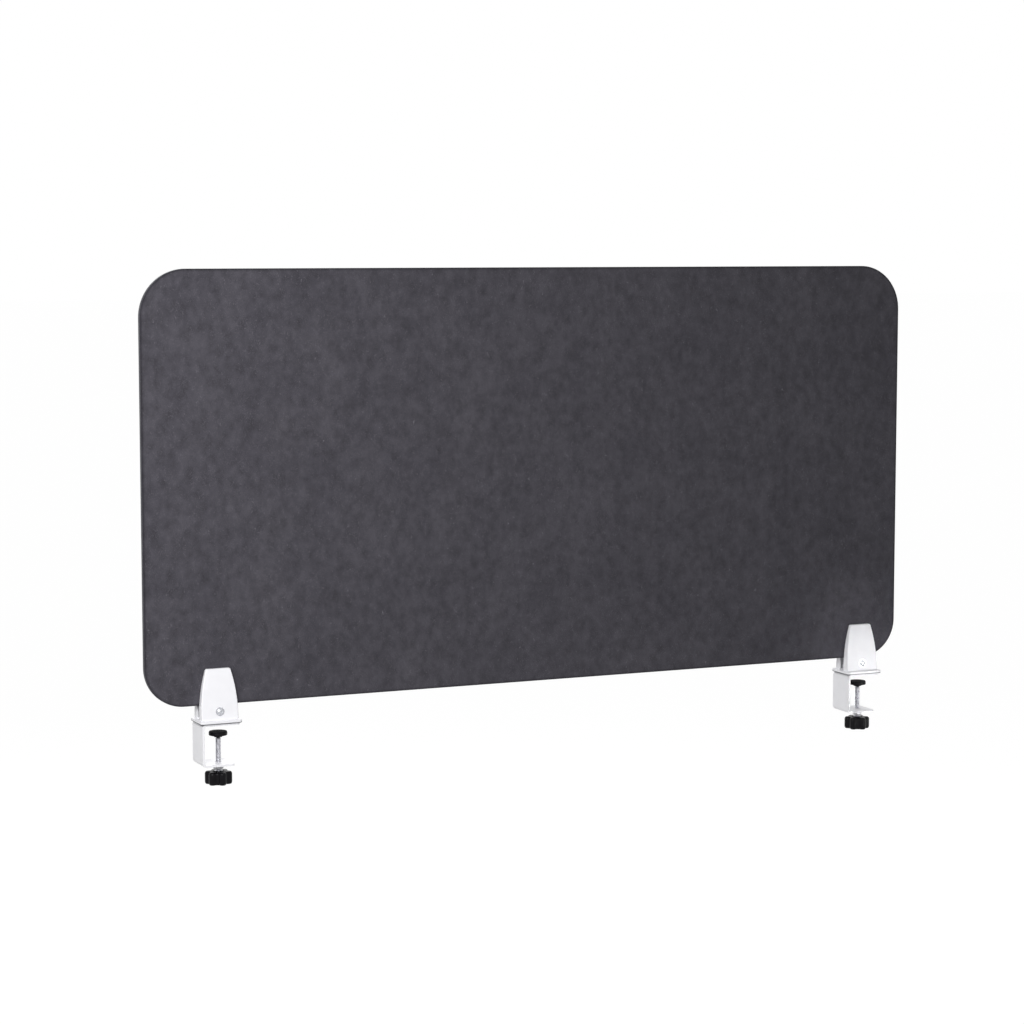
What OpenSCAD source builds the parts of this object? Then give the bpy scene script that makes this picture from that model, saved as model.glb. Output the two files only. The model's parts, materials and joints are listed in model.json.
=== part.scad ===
// Clamp-on acoustic desk divider: a felt board in two screw clamps.
// The board stands in the XZ plane and Z = 0 is the top face of the desk that the clamps grip.
// X = 0 is midway along the board and Y = 0 is the middle of its thickness; -Y is the front.

/* [Board] */
// Length of the felt board
panel_w = 1200; // [900:10:1800]
// Height of the felt board
panel_h = 600; // [350:10:800]
// Thickness of the felt board
panel_t = 9; // [6:0.5:12]
// Radius of the board's upper corners
panel_upper_r = 66; // [10:1:120]
// Radius of the board's lower corners
panel_lower_r = 56; // [10:1:120]
// Height of the board's lower edge above the foot plate
panel_lift = 20; // [18:0.5:26]

/* [Clamp places] */
// Middle of the left clamp from the board's left end
left_clamp_inset = 103; // [60:1:300]
// Middle of the right clamp from the board's right end
right_clamp_inset = 64; // [60:1:300]

/* [Jaws] */
// Height of the jaws above the foot plate
jaw_h = 71; // [60:1:90]
// Width of the jaws at the foot
jaw_w = 53; // [48:0.5:60]
// Radius of the curve that draws the jaw's sides in towards the top
jaw_side_r = 211; // [200:1:300]
// Height above the foot plate at which the sides start to draw in
jaw_side_start = 10; // [5:0.5:20]
// Radius of the jaw's upper corners
jaw_corner_r = 3; // [2:0.25:6]
// Depth of a jaw at its foot
jaw_foot_t = 12.5; // [11:0.25:15]
// Depth of a jaw at its top
jaw_top_t = 5; // [4:0.25:7]
// Rounding of the jaw's outer edges
jaw_edge_r = 1.4; // [0.8:0.1:2]
// Wall of the cored jaw
jaw_wall = 2.4; // [2:0.1:3]
// Thickness of the ribs inside a jaw
jaw_rib_t = 1.8; // [1.4:0.1:2.5]
// Thickness of the rubber grip pads
grip_t = 1; // [0.5:0.1:1.5]
// Margin of the grip pads inside the jaw's outline
grip_inset = 3; // [2.5:0.25:4]
// Width of the two heel lugs under the front jaw
lug_w = 8; // [6:0.5:9]
// Depth of the heel lugs
lug_t = 4; // [3:0.25:4.5]
// Height of the heel lugs
lug_h = 2.4; // [1.5:0.1:2.4]
// Distance of the heel lugs from the middle of the jaw
lug_x = 17; // [15:0.5:19]
// How far the front jaw opens
jaw_opening = 4; // [3:0.25:4]

/* [Jaw bolt] */
// Height of the bolt above the foot plate
bolt_z = 12; // [11:0.25:13]
// Thread diameter of the bolt
bolt_d = 6; // [5:0.5:6]
// Diameter of the bolt's button head
bolt_head_d = 10.5; // [9.5:0.1:11]
// Height of the bolt's button head
bolt_head_h = 3.3; // [2.8:0.1:3.5]
// Width across flats of the socket in the bolt head
bolt_socket_af = 4; // [3:0.5:5]
// Diameter of the washer
washer_d = 12; // [11.5:0.1:12.5]
// Thickness of the washer
washer_t = 1.6; // [1:0.1:1.8]
// Width across flats of the jaw nut
jaw_nut_af = 10; // [8:0.5:10]
// Height of the jaw nut
jaw_nut_h = 5; // [4.5:0.1:5.5]
// How far the bolt stands out of its nut
bolt_end_out = 1.5; // [0.5:0.25:1.5]

/* [Foot plate] */
// Length of the foot plate along the board
foot_w = 60; // [57:0.5:70]
// Depth of the foot plate
foot_depth = 50; // [48:0.5:60]
// Thickness of the foot plate
foot_t = 3; // [2.5:0.1:5]
// Corner radius of the foot plate
foot_corner_r = 5; // [2:0.5:8]
// Thickness of the gasket under the foot plate
gasket_t = 1; // [0.5:0.1:2]

/* [C-bracket] */
// Depth of the bracket
bracket_depth = 46; // [40:0.5:48]
// Thickness of the bracket's sheet
bracket_t = 3; // [2.5:0.1:4]
// Inner radius of the bracket's bends
bracket_bend_r = 3; // [1.5:0.1:4]
// How far the bracket's back stands in from the foot plate's end
bracket_inset = 2.5; // [1:0.1:5]
// Clear height between the bracket's flanges
throat_h = 54; // [46:0.5:60]
// Length of the lower flange
lower_flange_w = 46; // [43:0.5:52]
// Length of the upper flange
upper_flange_w = 54; // [50:0.5:57]
// Corner radius of the flanges
flange_corner_r = 3; // [1:0.25:5]
// Thread diameter of the two bracket screws
screw_d = 5; // [4:0.5:5]
// Head diameter of the bracket screws
screw_head_d = 9.3; // [8:0.1:9.5]
// Height of a bracket screw's countersunk head
screw_head_h = 2.4; // [2:0.1:2.4]
// Length of the bracket screws
screw_len = 13; // [11:0.5:14]
// Distance of the bracket screws from the middle of the foot plate
screw_x = 15; // [13:0.5:17]

/* [Clamp screw] */
// Screw axis from the middle of the foot plate
spindle_x = 2; // [-2:0.25:4]
// Diameter of the clamp screw
spindle_d = 8; // [7:0.5:8]
// Width across flats of the nut under the lower flange
spindle_nut_af = 13; // [12:0.5:15]
// Height of the nut under the lower flange
spindle_nut_h = 6.5; // [5:0.1:8]
// Gap between the desk face and the pad as shown
throat_open = 11; // [9:0.25:13]
// Diameter of the swivel pad
pad_d = 26; // [22:0.5:30]
// Thickness of the swivel pad's disc
pad_disc_t = 4; // [3.5:0.1:5]
// Thickness of the rubber facing
facing_t = 1.5; // [1:0.1:2]
// Height of the swivel pad's neck
pad_neck_h = 2.5; // [2.3:0.1:4]
// Diameter of the swivel pad's neck at its foot
pad_neck_d = 12; // [11:0.5:14]
// Diameter of the ball end
ball_d = 7; // [6:0.1:7.5]
// Diameter of the spindle's neck below the ball
ball_neck_d = 5; // [4:0.1:5]

/* [Knob] */
// Diameter over the lobes
knob_d = 38; // [36:0.5:44]
// Height of the lobed body
knob_h = 18; // [15:0.5:20]
// Radius of a lobe
lobe_r = 5.5; // [5:0.1:6]
// Radius of the hollow between two lobes
hollow_r = 4; // [3.5:0.1:4.5]
// Number of lobes
lobes = 6; // [5:1:7]
// Rounding of the knob's edges
knob_edge_r = 2; // [1:0.1:2.5]
// Turn of the knob as shown
knob_turn = -24; // [-30:1:30]
// Diameter of the collar on top of the knob
hub_d = 16; // [15:0.5:17]
// Height of the collar
hub_h = 1; // [0.8:0.1:2]
// Diameter of the bush in the knob
insert_d = 12; // [11:0.25:13]
// Length of the bush in the knob
insert_h = 14; // [10:0.5:15]
// Gap between the collar and the nut above it as shown
hub_gap = 2.5; // [2.2:0.1:4]

/* [Hidden] */
$fn = 48;

// Colours
felt_colour = [0.28, 0.27, 0.30];
paint_colour = [0.93, 0.93, 0.95];
black_colour = [0.05, 0.05, 0.05];
steel_colour = [0.72, 0.72, 0.75];
grey_colour = [0.45, 0.45, 0.48];

// Overrun of cuts and the clearances of the fits
overrun = 0.5;
seat_clearance = 0.02;
running_clearance = 0.05;
pocket_clearance = 0.1;
ball_clearance = 0.15;
bolt_clearance = 0.3;
lug_clearance = 0.3;
washer_clearance = 0.3;

// Places of the clamps along the board
left_clamp_x = left_clamp_inset - panel_w / 2;
right_clamp_x = panel_w / 2 - right_clamp_inset;

// Heights, counted from the desk face
gasket_z = bracket_t;
foot_z = gasket_z + gasket_t;
jaw_z = foot_z + foot_t;
panel_z = jaw_z + panel_lift;
bolt_axis_z = jaw_z + bolt_z;
lower_flange_z = -throat_h - bracket_t;
spindle_nut_z = lower_flange_z - spindle_nut_h;
knob_top_z = spindle_nut_z - hub_gap;
facing_z = -throat_open - facing_t;
disc_z = facing_z - pad_disc_t;
pad_neck_z = disc_z - pad_neck_h;

// Depths, counted from the middle of the board
jaw_y = panel_t / 2 + grip_t;
lug_y = (jaw_foot_t - lug_t) / 2;
screw_y = jaw_y + jaw_foot_t / 2;

// Seats of the washer in the front jaw and of the nut in the rear jaw, counted from a jaw's inner face
seat_d = washer_d + 2 * washer_clearance;
seat_sink = 0.4;
seat_t = jaw_t_at(bolt_z + seat_d / 2) - seat_sink;
nut_floor_t = seat_t - jaw_nut_h;
boss_d = seat_d + 2 * jaw_rib_t;
bolt_bore_d = bolt_d + 2 * bolt_clearance;
grip_z = panel_lift + grip_inset / 3;
screw_boss_d = screw_d + 2 * jaw_wall;
screw_sink = 0.2;
screw_boss_h = screw_len + screw_sink - jaw_z + jaw_rib_t;
socket_depth_share = 0.6;

// Ribs inside the jaws, as shares of the jaw's height and width
rib_height_shares = [0.42, 0.6, 0.78];
rib_place_shares = [-0.22, 0.22];
outline_steps = 10;
edge_steps = 3;

// Ball joint between spindle and pad
socket_r = ball_d / 2 + ball_clearance;
mouth_r = ball_neck_d / 2 + 2 * ball_clearance;
ball_z = pad_neck_z + sqrt(pow(socket_r, 2) - pow(mouth_r, 2));
shoulder_gap = 0.6;
shoulder_z = pad_neck_z - shoulder_gap;

// Star outline of the knob: hollows that run smoothly into the lobes, and the angle at which they touch
lobe_at = knob_d / 2 - lobe_r;
half_step = 180 / lobes;
hollow_at = lobe_at * cos(half_step)
  + sqrt(pow(lobe_r + hollow_r, 2) - pow(lobe_at * sin(half_step), 2));
touch_angle = atan2(hollow_at * sin(half_step), hollow_at * cos(half_step) - lobe_at);
lobe_steps = 10;
hollow_steps = 4;
lobe_land = 0.5;
hub_flare = hub_h / 2;
pocket_facets = 24;

// Half width of a jaw at a height above the foot plate
function jaw_half_at(h) =
  h <= jaw_side_start ? jaw_w / 2
  : jaw_w / 2 - jaw_side_r + sqrt(pow(jaw_side_r, 2) - pow(h - jaw_side_start, 2));

// Depth of a jaw at a height above the foot plate
function jaw_t_at(h) = jaw_foot_t - (jaw_foot_t - jaw_top_t) * h / jaw_h;

// Right-hand edge of the jaw's outline, drawn in by an inset
function jaw_edge(inset) =
  let (side_h = jaw_h - jaw_corner_r, side_x = jaw_half_at(side_h))
  concat(
    [for (i = [0 : outline_steps]) [jaw_half_at(side_h * i / outline_steps) - inset, side_h * i / outline_steps]],
    [for (a = [15 : 15 : 90])
      [side_x - jaw_corner_r + (jaw_corner_r - inset) * cos(a), side_h + (jaw_corner_r - inset) * sin(a)]]
  );

function mirrored(points) = [for (i = [len(points) - 1 : -1 : 0]) [-points[i][0], points[i][1]]];

module jaw_outline(inset) {
  polygon(concat(jaw_edge(inset), mirrored(jaw_edge(inset))));
}

// Stands an XZ outline up and gives it a thickness towards +Y
module upright(thickness) {
  translate([0, thickness, 0])
    rotate([90, 0, 0])
      linear_extrude(thickness)
        children();
}

// Closed solid through rings of points that all have the same length
module loft(rings) {
  count = len(rings[0]);
  last = len(rings) - 1;
  polyhedron(
    points = [for (ring = rings) each ring],
    faces = concat(
      [[for (i = [count - 1 : -1 : 0]) i]],
      [[for (i = [0 : count - 1]) last * count + i]],
      [for (k = [0 : last - 1], i = [0 : count - 1])
        let (a = k * count + i, b = k * count + (i + 1) % count)
        each [[a, b, b + count], [a, b + count, a + count]]]
    )
  );
}

// The jaw's outline as a ring: drawn in by an inset, kept above a floor, at a depth under the sloping face
function sloping_ring(inset, floor_h, depth) =
  [for (p = concat(jaw_edge(inset), mirrored(jaw_edge(inset))))
    let (h = max(p[1], floor_h))
    [p[0], jaw_t_at(h) - depth, h]];

// The same ring laid flat at one depth
function flat_ring(inset, floor_h, y) =
  [for (p = concat(jaw_edge(inset), mirrored(jaw_edge(inset)))) [p[0], y, max(p[1], floor_h)]];

// Outer form of a jaw with rounded edges: inner face at y = 0, foot at z = 0
module jaw_form() {
  loft(concat(
    [flat_ring(0, 0, 0)],
    [for (i = [0 : edge_steps])
      let (turn = 90 * i / edge_steps)
      sloping_ring(jaw_edge_r * (1 - cos(turn)), 0, jaw_edge_r * (1 - sin(turn)))]
  ));
}

// Hollow of a jaw, open at its inner face
module jaw_hollow() {
  loft([
    flat_ring(jaw_wall, jaw_wall, -overrun),
    sloping_ring(jaw_wall, jaw_wall, jaw_wall + jaw_edge_r),
    sloping_ring(jaw_wall + jaw_edge_r, jaw_wall, jaw_wall)
  ]);
}

// Upright and level ribs inside a jaw
module jaw_ribs() {
  root = jaw_wall / 2;
  for (share = rib_place_shares)
    translate([share * jaw_w + jaw_rib_t / 2, 0, 0])
      rotate([0, -90, 0])
        linear_extrude(jaw_rib_t)
          polygon([
            [0, 0], [0, jaw_t_at(0) - root],
            [jaw_h - root, jaw_t_at(jaw_h) - root], [jaw_h - root, 0]
          ]);
  for (share = rib_height_shares) {
    h = share * jaw_h;
    half = jaw_half_at(h + jaw_rib_t) - root;
    translate([-half, 0, h])
      cube([2 * half, jaw_t_at(h + jaw_rib_t) - root, jaw_rib_t]);
  }
}

// Cored jaw with a boss for the bolt
module cored_jaw() {
  difference() {
    jaw_form();
    jaw_hollow();
  }
  jaw_ribs();
  translate([0, 0, bolt_z])
    rotate([-90, 0, 0])
      cylinder(d = boss_d, h = seat_t);
}

module hexagon(af) {
  circle(d = af / cos(30), $fn = 6);
}

// Rounded rectangle made of squares and circles
module round_rect(w, d, r) {
  square([w - 2 * r, d], center = true);
  square([w, d - 2 * r], center = true);
  for (x = [-1, 1], y = [-1, 1])
    translate([x * (w / 2 - r), y * (d / 2 - r)])
      circle(r);
}

// Upper half of the board's outline, standing on its middle line
module half_panel(corner_r) {
  intersection() {
    round_rect(panel_w, panel_h, corner_r, $fn = 96);
    translate([-panel_w / 2, 0])
      square([panel_w, panel_h / 2]);
  }
}

module felt_panel() {
  color(felt_colour)
    translate([0, panel_t / 2, panel_z + panel_h / 2])
      rotate([90, 0, 0])
        linear_extrude(panel_t) {
          half_panel(panel_upper_r);
          mirror([0, 1])
            half_panel(panel_lower_r);
        }
}

module rear_jaw() {
  color(paint_colour)
    difference() {
      union() {
        translate([0, jaw_y, jaw_z])
          cored_jaw();
        translate([0, 0, foot_z])
          linear_extrude(foot_t)
            round_rect(foot_w, foot_depth, foot_corner_r);
        for (side = [-1, 1])
          translate([side * screw_x, screw_y, jaw_z])
            cylinder(d = screw_boss_d, h = screw_boss_h);
      }
      translate([0, 0, bolt_axis_z])
        rotate([-90, 0, 0]) {
          cylinder(d = bolt_bore_d, h = jaw_y + jaw_foot_t);
          translate([0, 0, jaw_y + nut_floor_t])
            linear_extrude(jaw_foot_t)
              hexagon(jaw_nut_af + 2 * pocket_clearance);
        }
      for (side = [-1, 1]) {
        translate([side * screw_x, screw_y, foot_z - overrun])
          cylinder(d = screw_d + 2 * running_clearance, h = screw_len + screw_sink - foot_z + 2 * overrun);
        translate([side * lug_x, -jaw_y - lug_y - (lug_t + jaw_opening) / 2, foot_z - overrun])
          linear_extrude(foot_t + 2 * overrun)
            square([lug_w + 2 * lug_clearance, lug_t + jaw_opening + 2 * lug_clearance], center = true);
      }
    }
}

module front_jaw() {
  color(paint_colour)
    translate([0, -jaw_y, jaw_z])
      mirror([0, 1, 0])
        difference() {
          union() {
            cored_jaw();
            for (side = [-1, 1])
              translate([side * lug_x - lug_w / 2, lug_y, -lug_h])
                cube([lug_w, lug_t, lug_h + jaw_wall]);
          }
          translate([0, 0, bolt_z])
            rotate([-90, 0, 0]) {
              translate([0, 0, -overrun])
                cylinder(d = bolt_bore_d, h = jaw_foot_t);
              translate([0, 0, seat_t])
                cylinder(d = seat_d, h = jaw_foot_t);
            }
        }
}

// Rubber sheet on a jaw's inner face, from the board's lower edge upwards
module grip_pad() {
  upright(grip_t)
    intersection() {
      jaw_outline(grip_inset);
      translate([-jaw_w / 2, grip_z])
        square([jaw_w, jaw_h - grip_z - grip_inset]);
    }
}

module rear_grip_pad() {
  color(grey_colour)
    translate([0, jaw_y - grip_t, jaw_z])
      grip_pad();
}

module front_grip_pad() {
  color(grey_colour)
    translate([0, -jaw_y, jaw_z])
      grip_pad();
}

// Button head, socket and shank, head towards the front
module jaw_bolt() {
  head_y = jaw_y + seat_t + washer_t;
  color(steel_colour)
    translate([0, -head_y, bolt_axis_z])
      rotate([-90, 0, 0]) {
        cylinder(d = bolt_d, h = head_y + jaw_y + seat_t + bolt_end_out);
        difference() {
          rotate_extrude()
            intersection() {
              translate([0, (pow(bolt_head_d / 2, 2) - pow(bolt_head_h, 2)) / (2 * bolt_head_h)])
                circle(r = (pow(bolt_head_d / 2, 2) + pow(bolt_head_h, 2)) / (2 * bolt_head_h));
              translate([0, -bolt_head_h])
                square([bolt_head_d / 2, bolt_head_h]);
            }
          translate([0, 0, -bolt_head_h - overrun])
            linear_extrude(bolt_head_h * socket_depth_share + overrun)
              hexagon(bolt_socket_af);
        }
      }
}

module jaw_bolt_washer() {
  color(grey_colour)
    translate([0, -jaw_y - seat_t, bolt_axis_z])
      rotate([90, 0, 0])
        difference() {
          cylinder(d = washer_d, h = washer_t);
          translate([0, 0, -overrun])
            cylinder(d = bolt_bore_d, h = washer_t + 2 * overrun);
        }
}

module jaw_nut() {
  color(steel_colour)
    translate([0, jaw_y + nut_floor_t, bolt_axis_z])
      rotate([-90, 0, 0])
        linear_extrude(jaw_nut_h)
          difference() {
            hexagon(jaw_nut_af);
            circle(d = bolt_d + 2 * running_clearance);
          }
}

module foot_gasket() {
  color(grey_colour)
    translate([0, 0, gasket_z])
      linear_extrude(gasket_t)
        difference() {
          round_rect(foot_w, foot_depth, foot_corner_r);
          for (side = [-1, 1])
            translate([side * screw_x, screw_y])
              circle(d = screw_d + 2 * bolt_clearance);
        }
}

// Quarter of a ring, the section of a bend
module bend_section() {
  intersection() {
    difference() {
      circle(bracket_bend_r + bracket_t);
      circle(bracket_bend_r);
    }
    square(bracket_bend_r + bracket_t);
  }
}

// Cutter that rounds the corner at the origin of a flange that lies towards -X and -Y
module corner_cutter(r, h) {
  translate([-r, -r, 0])
    linear_extrude(h)
      difference() {
        square(r + overrun);
        circle(r);
      }
}

module c_bracket() {
  back_x = bracket_inset - foot_w / 2;
  bend = bracket_bend_r + bracket_t;
  color(paint_colour)
    difference() {
      translate([back_x, bracket_depth / 2, 0])
        rotate([90, 0, 0])
          linear_extrude(bracket_depth) {
            translate([bend, 0])
              square([upper_flange_w - bend, bracket_t]);
            translate([bend, -throat_h - bracket_t])
              square([lower_flange_w - bend, bracket_t]);
            translate([0, bracket_bend_r - throat_h])
              square([bracket_t, throat_h - 2 * bracket_bend_r]);
            translate([bend, -bracket_bend_r])
              mirror([1, 0])
                bend_section();
            translate([bend, bracket_bend_r - throat_h])
              mirror([1, 0])
                mirror([0, 1])
                  bend_section();
          }
      for (end = [[upper_flange_w, 0], [lower_flange_w, lower_flange_z]], side = [0, 1])
        mirror([0, side, 0])
          translate([back_x + end[0], bracket_depth / 2, end[1] - overrun])
            corner_cutter(flange_corner_r, bracket_t + 2 * overrun);
      for (side = [-1, 1])
        translate([side * screw_x, screw_y, 0]) {
          translate([0, 0, -overrun])
            cylinder(d = screw_d + 2 * bolt_clearance, h = bracket_t + 2 * overrun);
          cylinder(d1 = screw_head_d + 2 * bolt_clearance, d2 = screw_d + 2 * bolt_clearance,
            h = screw_head_h + screw_sink);
        }
      translate([spindle_x, 0, lower_flange_z - overrun])
        cylinder(d = spindle_d + 2 * bolt_clearance, h = bracket_t + 2 * overrun);
    }
}

module bracket_screws() {
  color(steel_colour)
    for (side = [-1, 1])
      translate([side * screw_x, screw_y, screw_sink])
        difference() {
          union() {
            cylinder(d1 = screw_head_d, d2 = screw_d, h = screw_head_h);
            cylinder(d = screw_d, h = screw_len);
          }
          translate([0, 0, -overrun])
            linear_extrude(screw_head_h * socket_depth_share + overrun)
              hexagon(screw_d * socket_depth_share);
        }
}

module spindle_nut() {
  corner_r = spindle_nut_af / 2 / cos(30);
  chamfer = corner_r - spindle_nut_af / 2;
  color(paint_colour)
    translate([spindle_x, 0, spindle_nut_z])
      difference() {
        intersection() {
          linear_extrude(spindle_nut_h)
            hexagon(spindle_nut_af);
          rotate_extrude()
            polygon([
              [0, 0], [corner_r - chamfer, 0], [corner_r, chamfer],
              [corner_r, spindle_nut_h], [0, spindle_nut_h]
            ]);
        }
        translate([0, 0, -overrun])
          cylinder(d = spindle_d + 2 * running_clearance, h = spindle_nut_h + 2 * overrun);
      }
}

// Screw with a neck and a ball at its upper end
module spindle() {
  taper = (spindle_d - ball_neck_d) / 2;
  color(steel_colour)
    translate([spindle_x, 0, 0]) {
      translate([0, 0, knob_top_z - insert_h + jaw_rib_t])
        cylinder(d = spindle_d, h = shoulder_z - taper - knob_top_z + insert_h - jaw_rib_t);
      translate([0, 0, shoulder_z - taper])
        cylinder(d1 = spindle_d, d2 = ball_neck_d, h = taper);
      translate([0, 0, shoulder_z])
        cylinder(d = ball_neck_d, h = ball_z - shoulder_z);
      translate([0, 0, ball_z])
        sphere(d = ball_d);
    }
}

module swivel_pad() {
  rim = pad_disc_t / 4;
  color(black_colour)
    translate([spindle_x, 0, 0])
      difference() {
        translate([0, 0, pad_neck_z])
          rotate_extrude()
            polygon([
              [0, 0], [pad_neck_d / 2, 0], [pad_neck_d / 2 + rim, pad_neck_h],
              [pad_d / 2 - rim, pad_neck_h], [pad_d / 2, pad_neck_h + rim],
              [pad_d / 2, pad_neck_h + pad_disc_t], [0, pad_neck_h + pad_disc_t]
            ]);
        translate([0, 0, ball_z])
          sphere(r = socket_r);
        translate([0, 0, pad_neck_z - overrun])
          cylinder(r = mouth_r, h = ball_z - pad_neck_z + overrun);
      }
}

module pad_facing() {
  color(black_colour)
    translate([spindle_x, 0, facing_z])
      cylinder(d = pad_d - pad_disc_t / 4, h = facing_t);
}

// One lobe of the star outline and the hollow after it, drawn in by an inset
function star_lobe(inset) =
  concat(
    [for (i = [0 : lobe_steps])
      let (a = touch_angle * (2 * i / lobe_steps - 1))
      [lobe_at + (lobe_r - inset) * cos(a), (lobe_r - inset) * sin(a)]],
    [for (i = [1 : hollow_steps - 1])
      let (a = 180 + half_step + (touch_angle - half_step) * (1 - 2 * i / hollow_steps))
      [hollow_at * cos(half_step) + (hollow_r + inset) * cos(a),
        hollow_at * sin(half_step) + (hollow_r + inset) * sin(a)]]
  );

// The star outline as a clockwise ring at a height
function star_ring(inset, z) =
  [for (i = [0 : lobes - 1], p = star_lobe(inset))
    let (turn = 2 * half_step * i)
    [p[0] * cos(turn) - p[1] * sin(turn), -p[0] * sin(turn) - p[1] * cos(turn), z]];

// A small ring round the knob's axis, its points in line with those of the star outline
function axis_ring(z) =
  [for (p = star_ring(0, z))
    let (shrink = knob_edge_r / norm([p[0], p[1]]))
    [p[0] * shrink, p[1] * shrink, z]];

// Lobed body with its edges rounded all the way round
module knob_body() {
  loft(concat(
    [axis_ring(0)],
    [for (i = [0 : edge_steps])
      let (turn = 90 * i / edge_steps)
      star_ring(knob_edge_r * (1 - sin(turn)), knob_edge_r * (1 - cos(turn)))],
    [for (i = [0 : edge_steps])
      let (turn = 90 * i / edge_steps)
      star_ring(knob_edge_r * (1 - cos(turn)), knob_h - knob_edge_r * (1 - sin(turn)))],
    [axis_ring(knob_h)]
  ));
}

// Collar that flares into the body
module knob_hub() {
  rotate_extrude()
    polygon([
      [0, 0], [hub_d / 2 + hub_flare, 0], [hub_d / 2, hub_flare], [hub_d / 2, hub_h], [0, hub_h]
    ]);
}

module knob() {
  body_z = knob_top_z - hub_h - knob_h;
  dish_r = lobe_at - lobe_r;
  color(black_colour)
    translate([spindle_x, 0, body_z])
      rotate(knob_turn)
        difference() {
          union() {
            knob_body();
            translate([0, 0, knob_h])
              knob_hub();
          }
          translate([0, 0, knob_h + hub_h - insert_h])
            cylinder(d = insert_d, h = insert_h + overrun);
          translate([0, 0, -overrun])
            cylinder(r = dish_r, h = knob_edge_r / 2 + overrun);
          for (i = [0 : lobes - 1])
            rotate(360 * i / lobes)
              translate([lobe_at, 0, -overrun])
                cylinder(r = lobe_r - knob_edge_r - lobe_land, h = knob_h / 2 + overrun, $fn = pocket_facets);
        }
}

// Bush in the knob, closed at its lower end
module knob_insert() {
  color(steel_colour)
    translate([spindle_x, 0, knob_top_z - insert_h])
      difference() {
        cylinder(d = insert_d - 2 * seat_clearance, h = insert_h);
        translate([0, 0, jaw_rib_t])
          cylinder(d = spindle_d + 2 * seat_clearance, h = insert_h);
      }
}

module at_left() {
  translate([left_clamp_x, 0, 0])
    children();
}

module at_right() {
  translate([right_clamp_x, 0, 0])
    children();
}

felt_panel();

at_left() rear_jaw();  // left_rear_jaw
at_left() rear_grip_pad();  // left_rear_grip_pad
at_left() front_jaw();  // left_front_jaw
at_left() front_grip_pad();  // left_front_grip_pad
at_left() jaw_bolt();  // left_jaw_bolt
at_left() jaw_bolt_washer();  // left_jaw_bolt_washer
at_left() jaw_nut();  // left_jaw_nut
at_left() foot_gasket();  // left_foot_gasket
at_left() c_bracket();  // left_c_bracket
at_left() bracket_screws();  // left_bracket_screws
at_left() spindle_nut();  // left_spindle_nut
at_left() spindle();  // left_spindle
at_left() swivel_pad();  // left_swivel_pad
at_left() pad_facing();  // left_pad_facing
at_left() knob();  // left_knob
at_left() knob_insert();  // left_knob_insert

at_right() rear_jaw();  // right_rear_jaw
at_right() rear_grip_pad();  // right_rear_grip_pad
at_right() front_jaw();  // right_front_jaw
at_right() front_grip_pad();  // right_front_grip_pad
at_right() jaw_bolt();  // right_jaw_bolt
at_right() jaw_bolt_washer();  // right_jaw_bolt_washer
at_right() jaw_nut();  // right_jaw_nut
at_right() foot_gasket();  // right_foot_gasket
at_right() c_bracket();  // right_c_bracket
at_right() bracket_screws();  // right_bracket_screws
at_right() spindle_nut();  // right_spindle_nut
at_right() spindle();  // right_spindle
at_right() swivel_pad();  // right_swivel_pad
at_right() pad_facing();  // right_pad_facing
at_right() knob();  // right_knob
at_right() knob_insert();  // right_knob_insert
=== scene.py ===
import json
import math
import bmesh
import bpy
import numpy as np
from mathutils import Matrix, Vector
from mathutils.geometry import delaunay_2d_cdt


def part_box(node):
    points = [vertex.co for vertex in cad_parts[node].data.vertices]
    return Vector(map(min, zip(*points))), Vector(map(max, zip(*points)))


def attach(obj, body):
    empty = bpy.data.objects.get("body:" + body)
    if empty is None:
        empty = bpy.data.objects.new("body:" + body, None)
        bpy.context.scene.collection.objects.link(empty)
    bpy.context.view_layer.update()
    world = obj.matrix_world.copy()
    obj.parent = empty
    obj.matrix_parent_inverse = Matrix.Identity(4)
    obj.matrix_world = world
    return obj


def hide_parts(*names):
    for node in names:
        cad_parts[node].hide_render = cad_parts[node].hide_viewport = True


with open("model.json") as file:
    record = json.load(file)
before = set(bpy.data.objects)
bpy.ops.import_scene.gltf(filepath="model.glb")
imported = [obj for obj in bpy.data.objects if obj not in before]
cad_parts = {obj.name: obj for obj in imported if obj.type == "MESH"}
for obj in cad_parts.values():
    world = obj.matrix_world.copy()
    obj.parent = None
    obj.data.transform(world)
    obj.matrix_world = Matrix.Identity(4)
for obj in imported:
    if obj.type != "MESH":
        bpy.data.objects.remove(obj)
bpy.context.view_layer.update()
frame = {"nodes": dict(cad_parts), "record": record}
nodes = frame["nodes"]
bodies = frame["record"]["behaviour"]["bodies"]
bodyOf = {node: body for body, members in bodies.items() for node in members}
sides = ("left", "right")
mm = 0.001
print("frame loaded:", len(nodes), "nodes")


# Mesh makers: every ring is an array of points, and faces join each ring to the next
joinWithin = 1e-6  # metres: points closer than this become one
roundPoints = 96  # points round a turned piece


def addObject(name, data):
    made = bpy.data.objects.new(name, data)
    bpy.context.scene.collection.objects.link(made)
    return made


def shadeSmooth(data, sharpDegrees):
    # edges sharper than the angle stay crisp
    data.shade_smooth()
    data.set_sharp_from_angle(angle=math.radians(sharpDegrees))


def ringFaces(rings, points):
    # face (i, j) joins points j and j + 1 of ring i to the same two points of ring i + 1
    base = np.arange(rings * points).reshape(rings, points)
    step = np.roll(base, -1, axis=1)
    quads = np.stack([base[:-1], step[:-1], step[1:], base[1:]], axis=-1)
    return quads.reshape(-1, 4)


def endFace(ring, points, start=0):
    # one face that has every point of a ring as a corner
    first = start + ring * points
    return list(range(first, first + points))


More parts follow.
